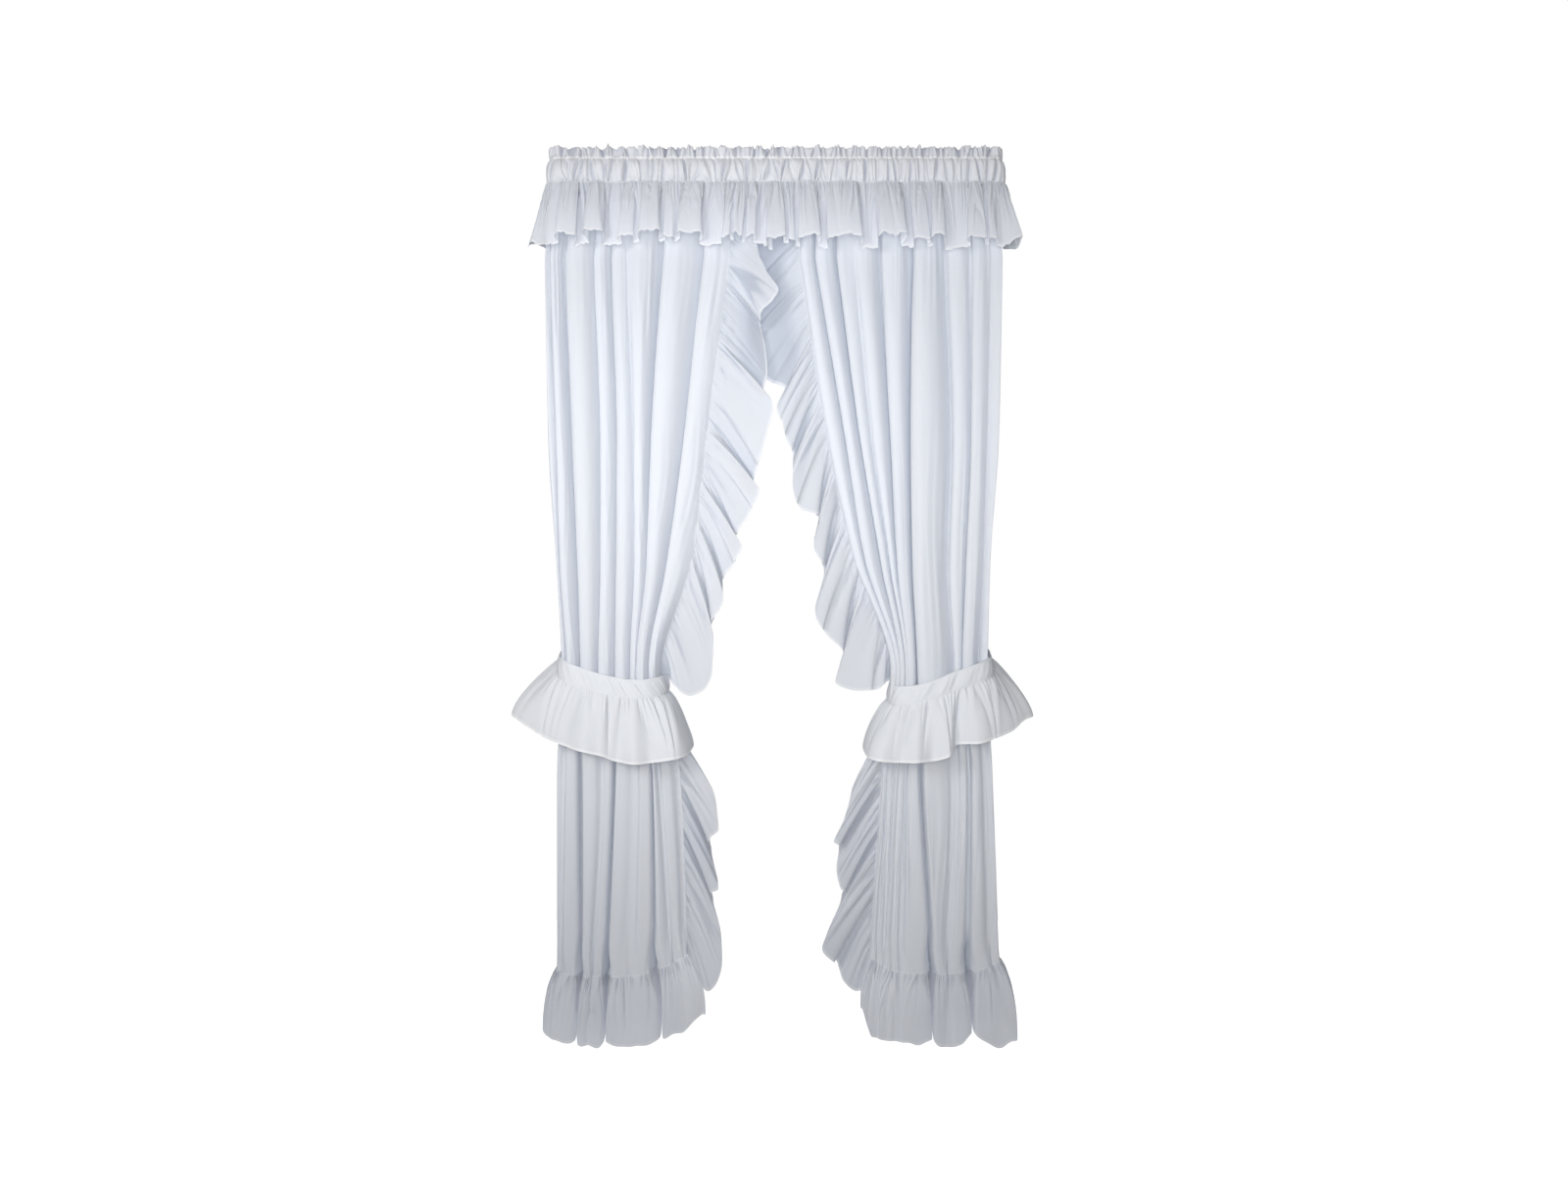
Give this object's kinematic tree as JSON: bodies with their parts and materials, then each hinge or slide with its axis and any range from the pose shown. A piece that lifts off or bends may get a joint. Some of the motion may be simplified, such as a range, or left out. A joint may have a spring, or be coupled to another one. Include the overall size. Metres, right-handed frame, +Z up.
{
  "type": "pair of priscilla curtains",
  "caption": "Sheer white ruffled curtains gathered on a rod pocket with a ruffled valance, drawn aside by ruffled ties and hanging on to ruffled hems.",
  "frame": {"origin": "middle of the heading's top edge, on the line above the curtain rod's axis", "axes": "+Z up, +X across the window to the right as seen from the room, -Y towards the room, +Y towards the wall"},
  "size_m": [1.2238, 0.1951, 2.1081],
  "materials": {
    "panel_cloth": "plain-woven sheer batiste, matt, pressed flat, white with a cool tint in its folds",
    "heading_cloth": "the same batiste, doubled and closely gathered, so nearly opaque",
    "ruffle_cloth": "the same batiste, gathered along one edge and narrow-hemmed along the other",
    "tie_cloth": "the same batiste, doubled in the band and single in its ruffle"
  },
  "bodies": {
    "root": {"left_heading": "heading_cloth", "left_panel": "panel_cloth", "left_valance": "ruffle_cloth", "left_edge_ruffle": "ruffle_cloth", "left_hem_ruffle": "ruffle_cloth", "left_tie_band": "tie_cloth", "left_tie_ruffle": "tie_cloth", "right_heading": "heading_cloth", "right_panel": "panel_cloth", "right_valance": "ruffle_cloth", "right_edge_ruffle": "ruffle_cloth", "right_hem_ruffle": "ruffle_cloth", "right_tie_band": "tie_cloth", "right_tie_ruffle": "tie_cloth"}
  },
  "joints": []
}
